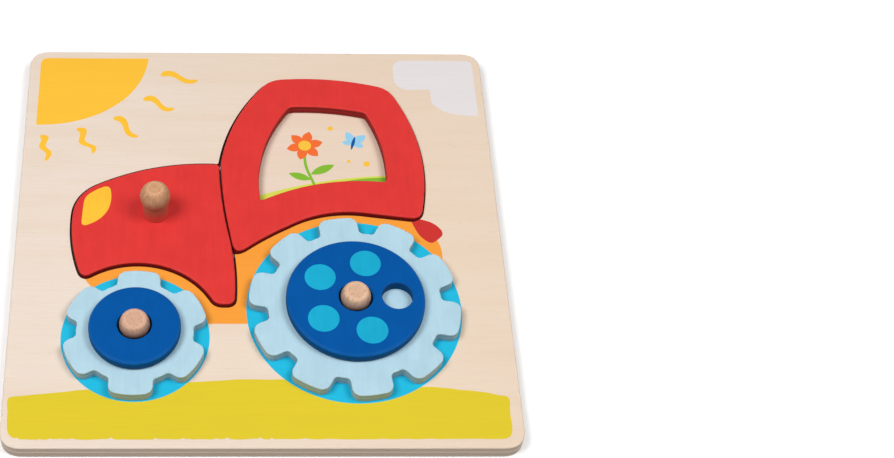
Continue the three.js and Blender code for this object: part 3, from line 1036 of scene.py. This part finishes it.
def compared(first, second, operation, kind="FLOAT"):
    return put("FunctionNodeCompare", {"A": first, "B": second}, operation=operation, data_type=kind)


# A closed path that runs counter-clockwise, whichever way it came
def woundLeft(path):
    place, ahead = geo("InputPosition"), geo("InputTangent")
    swept = split(vectorCalc("CROSS_PRODUCT", place, ahead))["Z"]
    total = geo("AttributeStatistic", path, {"Attribute": swept}, "Sum")
    clockwise = compared(total, 0.0, "LESS_THAN")
    return geo("ReverseCurve", path, {"Selection": clockwise})


# The wall that an outline makes when a straight profile with two rounded ends is swept round it
def sweptWall(outline, thick, ease, steps):
    inward = ease * -1.0
    lower = thick - ease
    profile = asOnePath(
        arcPath(vectorOf(inward, ease), ease, -quarter, quarter, steps),
        linePath(vectorOf(0.0, ease), vectorOf(0.0, lower)),
        arcPath(vectorOf(inward, lower), ease, 0.0, quarter, steps),
    )
    upright = geo("SetCurveNormal", outline, mode="Z_UP")
    side = geo("CurveToMesh", upright, {"Profile Curve": profile})
    return moved(geo("FlipFaces", side), vectorOf(z=thick))


# A flat piece of even thickness on Z = 0, with walls round its outline and its holes, closed by two faces
def makeEasedSlab():
    given = newShapeTree("easedSlab", {
        "Outline": "Geometry", "Holes": "Geometry", "Thickness": 5 * mm, "Ease": 0.8 * mm,
        "Hole Ease": 0.3 * mm, "Steps": 7,
    })
    thick, steps = given["Thickness"], given["Steps"]
    side = joined(
        sweptWall(given["Outline"], thick, given["Ease"], steps),
        sweptWall(given["Holes"], thick, given["Hole Ease"], steps),
    )
    openEdge = compared(geo("InputMeshEdgeNeighbors"), 1, "EQUAL", "INT")
    above = compared(split(geo("InputPosition"))["Z"], thick * 0.5, "GREATER_THAN")
    topRim = put("FunctionNodeBooleanMath", {0: openEdge, 1: above}, operation="AND")
    face = geo("FillCurve", geo("MeshToCurve", side, {"Selection": topRim}))
    flat = geo("SetShadeSmooth", face, {"Shade Smooth": False})
    smooth = geo("SetShadeSmooth", side, {"Shade Smooth": True})
    top = moved(flat, vectorOf(z=thick))
    return endGroup({"Geometry": welded(joined(smooth, top, geo("FlipFaces", flat)))})


def placeInTree(given, outline, *holes):
    sizes = {label: given[label] for label in ("Thickness", "Ease", "Hole Ease")}
    slab = geo("Group", outline, {"Holes": joined(*holes), **sizes}, node_tree=easedSlab)
    placed = moved(slab, given["Place"], Rotation=vectorOf(z=given["Turn"]))
    real = geo("RealizeInstances", placed)
    return endGroup({"Geometry": geo("SetMaterial", real, {"Material": given["Material"]})})


def holePath(radius, place=None, steps=96):
    ring = circlePath(radius, steps)
    return geo("ReverseCurve", moved(ring, place) if place else ring)


commonInputs = {
    "Bore Radius": 7.1 * mm, "Thickness": 5 * mm, "Ease": 0.45 * mm, "Hole Ease": 0.3 * mm,
    "Place": "Vector", "Turn": 0.0, "Material": "Material",
}


# Half a tooth from four arcs and a straight flank, mirrored and repeated round the middle
def makeToothedTyre():
    given = newShapeTree("toothedTyre", {
        "Teeth": 10, "Tip Radius": 44.4 * mm, "Tooth Depth": 7.9 * mm, "Tooth Share": 0.735,
        "Tip Round": 3.8 * mm, "Root Round": 2 * mm, **commonInputs,
    })
    tip, tipRound, rootRound = given["Tip Radius"], given["Tip Round"], given["Root Round"]
    root = tip - given["Tooth Depth"]
    pitch = 2 * pi / given["Teeth"]
    half = given["Tooth Share"] * pitch * root * 0.5

    def legOf(reach, rise):
        return calc("SQRT", reach * reach - rise * rise)

    tipRise = half - tipRound
    tipX = legOf(tip - tipRound, tipRise)
    rootRise = half + rootRound
    rootX = legOf(root + rootRound, rootRise)
    tipAngle = calc("ARCTAN2", tipRise, tipX)
    rootAngle = calc("ARCTAN2", rootRise, rootX)
    halfTooth = joined(
        arcPath(vectorOf(), tip, 0.0, tipAngle, 14),
        arcPath(vectorOf(tipX, tipRise), tipRound, tipAngle, calc("SUBTRACT", quarter, tipAngle), 12),
        linePath(vectorOf(tipX, half), vectorOf(rootX, half)),
        arcPath(vectorOf(rootX, rootRise), rootRound, -quarter, rootAngle - quarter, 12),
        arcPath(vectorOf(), root, rootAngle, pitch * 0.5 - rootAngle, 7),
    )
    mirrored = geo("Transform", halfTooth, {"Scale": (1, -1, 1)})
    ring = geo("InstanceOnPoints", geo("Points", given["Teeth"]), {
        "Instance": joined(halfTooth, mirrored), "Rotation": vectorOf(z=geo("InputIndex") * pitch),
    })
    rim = woundLeft(asOnePath(geo("RealizeInstances", ring)))
    return placeInTree(given, rim, holePath(given["Bore Radius"]))


def makeRoundHub():
    given = newShapeTree("roundHub", {
        "Radius": 29 * mm, "Finger Hole": True, "Hole Radius": 6.5 * mm, "Hole Place": 17.5 * mm,
        **commonInputs,
    })
    hole = holePath(given["Hole Radius"], vectorOf(given["Hole Place"]))
    chosen = geo("Switch", given["Finger Hole"], {"True": hole})
    return placeInTree(given, circlePath(given["Radius"]), chosen, holePath(given["Bore Radius"]))


def growPiece(name, tree, values):
    start = addObject("start", bpy.data.meshes.new("start"))
    modifier = start.modifiers.new("shape", "NODES")
    modifier.node_group = tree
    for item in tree.interface.items_tree:
        if item.in_out == "INPUT" and item.name in values:
            modifier[item.identifier] = values[item.name]
    weighted = start.modifiers.new("flatFaces", "WEIGHTED_NORMAL")
    weighted.weight = 100
    mesh = bakedMesh(start, name)
    bpy.data.objects.remove(start)
    return addObject(name, mesh)


easedSlab = makeEasedSlab()
toothedTyre = makeToothedTyre()
roundHub = makeRoundHub()

wheels = {
    "small": {
        "axle": smallAxle, "dots": None,
        "gear": {"Teeth": 6, "Tip Radius": 30.2, "Tooth Depth": 6.0, "Tooth Share": 0.71, "Turn": 27.5},
        "hub": {"Radius": 19.0, "Finger Hole": False, "Ease": 1.5},
    },
    "large": {
        "axle": largeAxle,
        "dots": {
            "centre": largeAxle, "count": 5, "ring": 17.5, "radius": 6.5, "start": 2, "depth": 0.1,
            "colour": paintColour(28, 170, 207),
        },
        "gear": {"Teeth": 10, "Tip Radius": 44.4, "Tooth Depth": 7.9, "Tooth Share": 0.735, "Turn": 25.5},
        "hub": {
            "Radius": 29.0, "Finger Hole": True, "Hole Radius": 6.5, "Hole Place": 17.5, "Ease": 1.5,
            "Turn": 2.0,
        },
    },
}
notLengths = ("Teeth", "Tooth Share", "Finger Hole")


def wheelPiece(size, ending, tree, part, material):
    low, high = levelsOf(f"{size}_{part}")
    place = (*wheels[size]["axle"] * mm, low * mm)
    values = {"Place": place, "Thickness": (high - low) * mm, "Material": material}
    for label, value in wheels[size][part].items():
        values[label] = value if label in notLengths else value * mm
    if "Turn" in values:
        values["Turn"] = radians(wheels[size][part]["Turn"])
    return growPiece(size + ending, tree, values)


def buildWheels():
    for size, wheel in wheels.items():
        blue = paintedPlywood(size + "TyreBlue", size + "_gear", paleBluePaint)
        tyre = wheelPiece(size, "_tyre_wood", toothedTyre, "gear", blue)
        seat(tyre, size + "_gear", size + "_tyre")
    for size, wheel in wheels.items():
        blue = paintedPlywood(size + "HubBlue", size + "_hub", darkBluePaint, wheel["dots"])
        hub = wheelPiece(size, "_hub_wood", roundHub, "hub", blue)
        seat(hub, size + "_hub", size + "_hub_disc")


buildWheels()
print("wheels built")


# Turned pegs and countersunk screws
pegShape = {"neck": 5.45, "crownEase": 0.4, "footEase": 0.4, "blend": 2.6, "pilot": 1.8, "pilotDepth": 9.5}
axleShape = {**pegShape, "ball": 6.3, "ballHeight": 13.2, "crownRise": 4.0, "crown": 3.9}
knobShape = {**pegShape, "ball": 6.5, "ballHeight": 12.2, "crownRise": 5.5, "crown": 3.1}
screwShape = {
    "head": 3.2, "headRim": 0.12, "headChamfer": 0.15, "headDepth": 1.9, "shank": 1.5, "core": 1.15,
    "length": 12.5, "point": 2.5, "pitch": 1.1, "plain": 0.8, "threadFade": 1.2, "crest": 2.2,
    "firstRing": 0.16, "ringStep": 0.13, "lastRing": 0.12,
    "slot": 3.6, "slotWidth": 0.9, "slotDepth": 1.3, "slotTaper": 0.55, "overrun": 0.5,
}


def turnedMesh(name, rows, centre, bottom, material, count=72):
    vertices, faces, directions = [], [], []
    normals = ringOf((0, 0), 1, count)
    rings = addRings(vertices, rows, count, lambda radius, _: ringOf(centre, radius, count), bottom)
    for corners in ringFaces(rings):
        faces.append(list(corners))
        directions += facing(corners, rows, normals)
    return meshObject(name, vertices, faces, material, directions)


# Half section of a peg as rows of (radius, height, tilt): pilot hole, foot, neck, ball and crown
def pegRows(shape):
    neck, blend, ball, foot = shape["neck"], shape["blend"], shape["ball"], shape["footEase"]
    pilot, depth = shape["pilot"], shape["pilotDepth"]
    rows = [(0, depth, -quarter), (pilot, depth, -quarter), (pilot, depth, pi)]
    rows += [(pilot, 0, pi), (pilot, 0, -quarter)]
    for k in range(5):
        tilt = quarter * (k / 4 - 1)
        rows.append((neck - foot * (1 - cos(tilt)), foot * (1 + sin(tilt)), tilt))
    rise = sqrt((ball + blend) ** 2 - (neck + blend) ** 2)
    blendAngle = atan2(rise, neck + blend)
    for k in range(8):
        angle = pi - blendAngle * k / 8
        radius = neck + blend + blend * cos(angle)
        height = shape["ballHeight"] - rise + blend * sin(angle)
        rows.append((radius, height, atan2(-sin(angle), -cos(angle))))
    crownAngle = asin((shape["crownRise"] - shape["crownEase"]) / ball)
    for k in range(25):
        angle = -blendAngle + (blendAngle + crownAngle) * k / 24
        rows.append((ball * cos(angle), shape["ballHeight"] + ball * sin(angle), angle))
    shoulder = np.array(rows[-1][:2])
    rim = np.array((shape["crown"], shape["ballHeight"] + shape["crownRise"]))
    bend = np.array((shoulder[0] - shape["crownEase"] * tan(crownAngle), rim[1]))
    for t in (0.2, 0.4, 0.6, 0.8, 1):
        ahead = (bend - shoulder) * (1 - t) + (rim - bend) * t
        rows.append((*bent(shoulder, bend, rim, t), atan2(-ahead[0], ahead[1])))
    return rows + [(0, rim[1], quarter)]


# How far the thread reaches at a height, for a share of the turn
def threadReach(height, share):
    shape = screwShape
    turn = (height / shape["pitch"] - share) % 1
    crest = max(0, 1 - abs(2 * turn - 1) * shape["crest"])
    fade = min(1, max(0, (height - shape["headDepth"] - shape["plain"]) / shape["threadFade"]))
    toTip = min(1, (shape["length"] - height) / shape["point"])
    core = shape["shank"] + (shape["core"] - shape["shank"]) * fade
    return (core + (shape["shank"] - core) * crest) * toTip


def screwPiece(name, centre, bottom, material, count=40):
    shape = screwShape
    lastRing = shape["length"] - shape["lastRing"]
    heights = np.arange(shape["headDepth"] + shape["firstRing"], lastRing, shape["ringStep"])
    rows = [(0, 0.0), (shape["head"] - shape["headChamfer"], 0.0), (shape["head"], shape["headRim"])]
    rows += [(shape["shank"], shape["headDepth"])]
    rows += [(None, height) for height in heights] + [(0, shape["length"])]

    def placesAt(radius, height):
        if radius is not None:
            return ringOf(centre, radius, count)
        return [polar(centre, threadReach(height, k / count), 360 * k / count) for k in range(count)]

    vertices = []
    rings = addRings(vertices, rows, count, placesAt, bottom)
    faces = [list(corners) for corners in ringFaces(rings)]
    return cutRecess(meshObject(name, vertices, faces, material), centre, bottom)


def cutRecess(screw, centre, bottom):
    shape = screwShape
    half, narrow = shape["slot"] / 2, shape["slotWidth"] / 2
    arm = [(half, -narrow), (half, narrow), (narrow, narrow)]
    cross = list(arm)
    for _ in range(3):
        arm = [(-y, x) for x, y in arm]
        cross += arm
    levels = [(1.0, -shape["overrun"]), (1.0, 0.0), (shape["slotTaper"], shape["slotDepth"])]
    vertices = []
    rings = addRings(vertices, levels, len(cross), lambda share, _: centre + np.array(cross) * share, bottom)
    faces = [rings[0][::-1], rings[2]] + [list(corners) for corners in ringFaces(rings)]
    cutter = meshObject("recess", vertices, faces, screw.data.materials[0])
    cut = screw.modifiers.new("recess", "BOOLEAN")
    cut.operation = "DIFFERENCE"
    cut.object = cutter
    mesh = bakedMesh(screw, screw.name)
    screw.modifiers.clear()
    screw.data = mesh
    bpy.data.objects.remove(cutter)
    return screw


def buildTurnings():
    pegs = (
        ("small_axle_peg", "board", axleShape), ("large_axle_peg", "board", axleShape),
        ("bonnet_knob", "bonnet_piece", knobShape),
    )
    for node, body, shape in pegs:
        centre = middleOf(node)
        low, high = levelsOf(node)
        wood = turnedBeech(node + "_beech", centre, (shape["crown"], high), beechLooks[node])
        peg = turnedMesh("turned_" + node, pegRows(shape), centre, low, wood)
        seat(peg, node, body)
    zinc = zincSteel()
    screws = (
        ("small_axle_screw", "board"), ("large_axle_screw", "board"), ("bonnet_knob_screw", "bonnet_piece"),
    )
    for node, body in screws:
        screw = screwPiece("threaded_" + node, middleOf(node), levelsOf(node)[0], zinc)
        seat(screw, node, body)


buildTurnings()
print("pegs and screws built")


# Floor, backdrop and lights
stage = {"floorReach": 3.0, "floorDrop": 0.0002, "floorTone": 0.72, "skyStrength": 0.15}
studioLights = {
    "leftBox": ((-0.55, -0.24, 1.1), (0.55, 0.55), 9.2),
    "rightBox": ((0.58, -0.17, 1.1), (0.55, 0.55), 7.2),
}


white = (1, 1, 1, 1)


def seenBy(*rays):
    path = wiresOf(newNode("ShaderNodeLightPath"))
    return reduce(lambda seen, ray: calc("MAXIMUM", seen, ray), [path[ray] for ray in rays])


def buildStage():
    reach, drop = stage["floorReach"], -stage["floorDrop"]
    floor = addObject("floor", bpy.data.meshes.new("floor"))
    corners = [(x * reach, y * reach, drop) for x, y in squareCorners]
    floor.data.from_pydata(corners, [], [(0, 1, 2, 3)])
    material, shader, coords = newMaterial("paleFloor")
    seen = seenBy("Is Camera Ray", "Is Glossy Ray")
    grey = (*[stage["floorTone"]] * 3, 1)
    glow = seen * mapped(lengthOf(coords), 0.25, 1.0, 0.12, 1.0)
    fill(shader, {
        "Base Color": mixed(seen, grey, white), "Emission Color": white, "Emission Strength": glow,
        "Roughness": 0.9, "Specular IOR Level": 0.0,
    })
    floor.data.materials.append(material)

    world = bpy.data.worlds.new("studio")
    bpy.context.scene.world = world
    world.use_nodes = True
    Wire.tree = world.node_tree
    seen = seenBy("Is Camera Ray", "Is Transmission Ray", "Is Glossy Ray")
    sky = mapped(seen, 0, 1, stage["skyStrength"], 1.0)
    fill(Wire.tree.nodes["Background"], {"Color": white, "Strength": sky})


def softbox(name, place, size, power):
    lamp = bpy.data.lights.new(name, "AREA")
    lamp.shape = "RECTANGLE"
    lamp.size, lamp.size_y = size
    lamp.energy = power
    light = addObject(name, lamp)
    light.location = place
    light.rotation_euler = Vector(place).to_track_quat("Z", "Y").to_euler()


buildStage()
for lightName, (place, size, power) in studioLights.items():
    softbox(lightName, place, size, power)
bpy.context.scene.view_settings.view_transform = "Standard"
print("stage lit")
